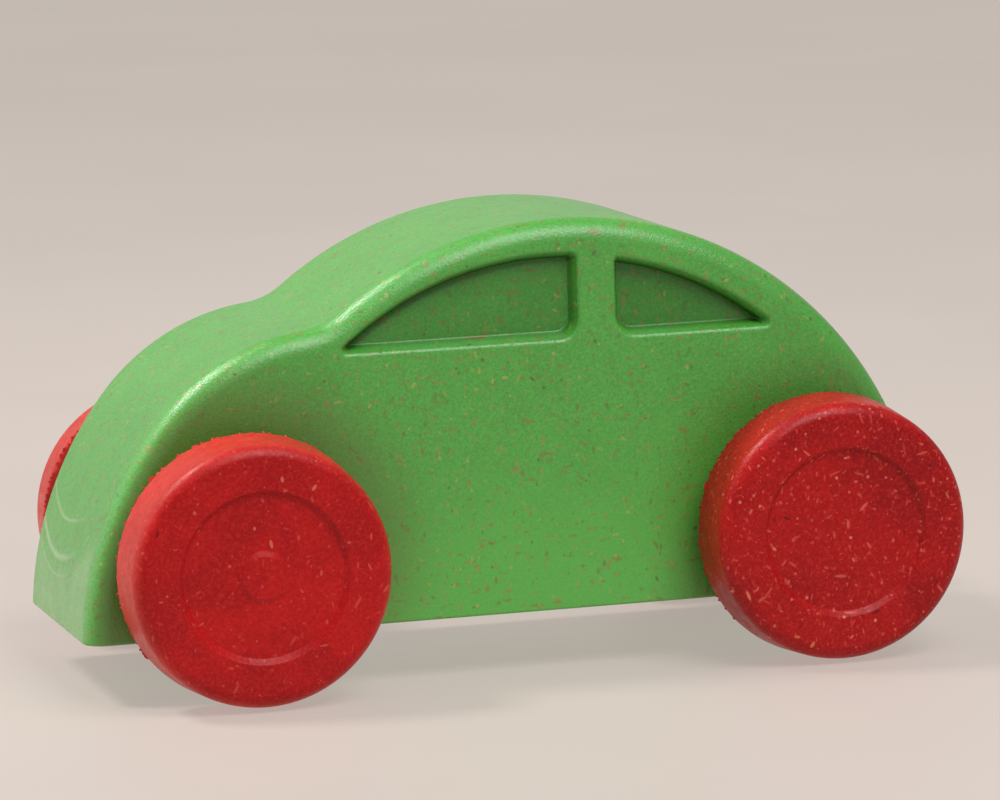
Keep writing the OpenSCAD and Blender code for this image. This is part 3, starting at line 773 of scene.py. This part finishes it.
def softbox(name, place, aim, width, height, watts, tint=(1, 1, 1)):
    data = bpy.data.lights.new(name, "AREA")
    data.shape = "RECTANGLE"
    data.size, data.size_y = width * MM, height * MM
    data.energy = watts
    data.color = tint
    lamp = bpy.data.objects.new(name, data)
    bpy.context.scene.collection.objects.link(lamp)
    lamp.location = Vector(place) * MM
    lamp.rotation_euler = (Vector(aim) - Vector(place)).to_track_quat("-Z", "Y").to_euler()


def build_lights():
    softbox("key", (420, -170, 660), (0, 0, 30), 160, 160, 4.5, (1.0, 0.98, 0.93))
    softbox("front", (720, -260, 240), (0, 0, 30), 800, 800, 2.0, (1.0, 0.98, 0.92))
    softbox("overhead", (-120, 420, 620), (0, 0, 40), 400, 400, 3.9)
    softbox("backdrop", (0, -1900, 600), (0, 0, 40), 3600, 1000, 2.6, (1.0, 0.98, 0.74))
    world = bpy.data.worlds.new("studio")
    world.use_nodes = True
    world.node_tree.nodes["Background"].inputs["Color"].default_value = rgb(244, 243, 242)
    world.node_tree.nodes["Background"].inputs["Strength"].default_value = 0.35
    bpy.context.scene.world = world
    bpy.context.scene.view_settings.view_transform = "Standard"


def build_camera():
    """A long lens in front of the car's left side, a little above the bonnet."""
    azimuth, elevation, roll = (math.radians(a) for a in (15.808, 8.096, -1.756))
    target, distance = Vector((-3.108, 0, 34.35)), 755.155
    flat = math.cos(elevation)
    toward = Vector((math.sin(azimuth) * flat, math.cos(azimuth) * flat, math.sin(elevation)))
    right = (-toward).cross(Vector((0, 0, 1))).normalized()
    up = right.cross(-toward)
    rolled_right = math.cos(roll) * right + math.sin(roll) * up
    rolled_up = math.cos(roll) * up - math.sin(roll) * right
    data = bpy.data.cameras.new("camera")
    data.sensor_width = 36
    data.lens = 197.886
    camera = bpy.data.objects.new("camera", data)
    bpy.context.scene.collection.objects.link(camera)
    axes = Matrix((rolled_right, rolled_up, toward)).transposed()
    camera.matrix_world = Matrix.Translation((target + toward * distance) * MM) @ axes.to_4x4()
    bpy.context.scene.camera = camera


# ---------------------------------------------------------------- the car

build_camera()
build_lights()
build_floor()

shell = build_shell()
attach(shell, "chassis")
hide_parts("body_shell")
green = green_composite("shell_green", rgb(75, 165, 58), rgb(63, 153, 50))
paint(shell, green)

wheels = build_wheels()
front_red = red_composite("wheel_red_front", rgb(158, 6, 12), rgb(190, 16, 18),
                          share=0.35, pale=0.55, axle=FRONT_AXLE, scuff_and_sheen=0.3)
rear_red = red_composite("wheel_red_rear", rgb(140, 5, 10), rgb(172, 13, 15),
                         share=0.95, pale=0.8, axle=REAR_AXLE, scuff_and_sheen=0.06)
for name, wheel in wheels.items():
    paint(wheel, front_red if name.startswith("front") else rear_red)

steel = metal("drawn_steel", rgb(196, 198, 200), 0.28, (1, 0.04, 1))
blued = metal("spring_strip", rgb(120, 128, 142), 0.3, (1, 0.05, 1))
case_grey = moulded("case_grey", rgb(74, 77, 82), 0.5)
acetal = moulded("natural_acetal", rgb(228, 222, 206), 0.4)
LOOKS = {
    "base_plate": green, "base_screws": steel, "front_axle": steel, "rear_axle": steel,
    "motor_case_left": case_grey, "motor_case_right": case_grey, "motor_screws": steel,
    "spring_divider": case_grey, "drive_pinion": acetal, "clutch_gear": acetal, "clutch_pin": steel,
    "transfer_gear": acetal, "transfer_pin": steel, "spring_gear": acetal, "spring_arbor": steel,
    "mainspring": blued,
}
for name, material in LOOKS.items():
    paint(frame["nodes"][name], material)
EDGES = {"base_plate": 0.25, "base_screws": 0.12, "motor_case_left": 0.2, "motor_case_right": 0.2}
for name, width in EDGES.items():
    soften_edges(frame["nodes"][name], width)
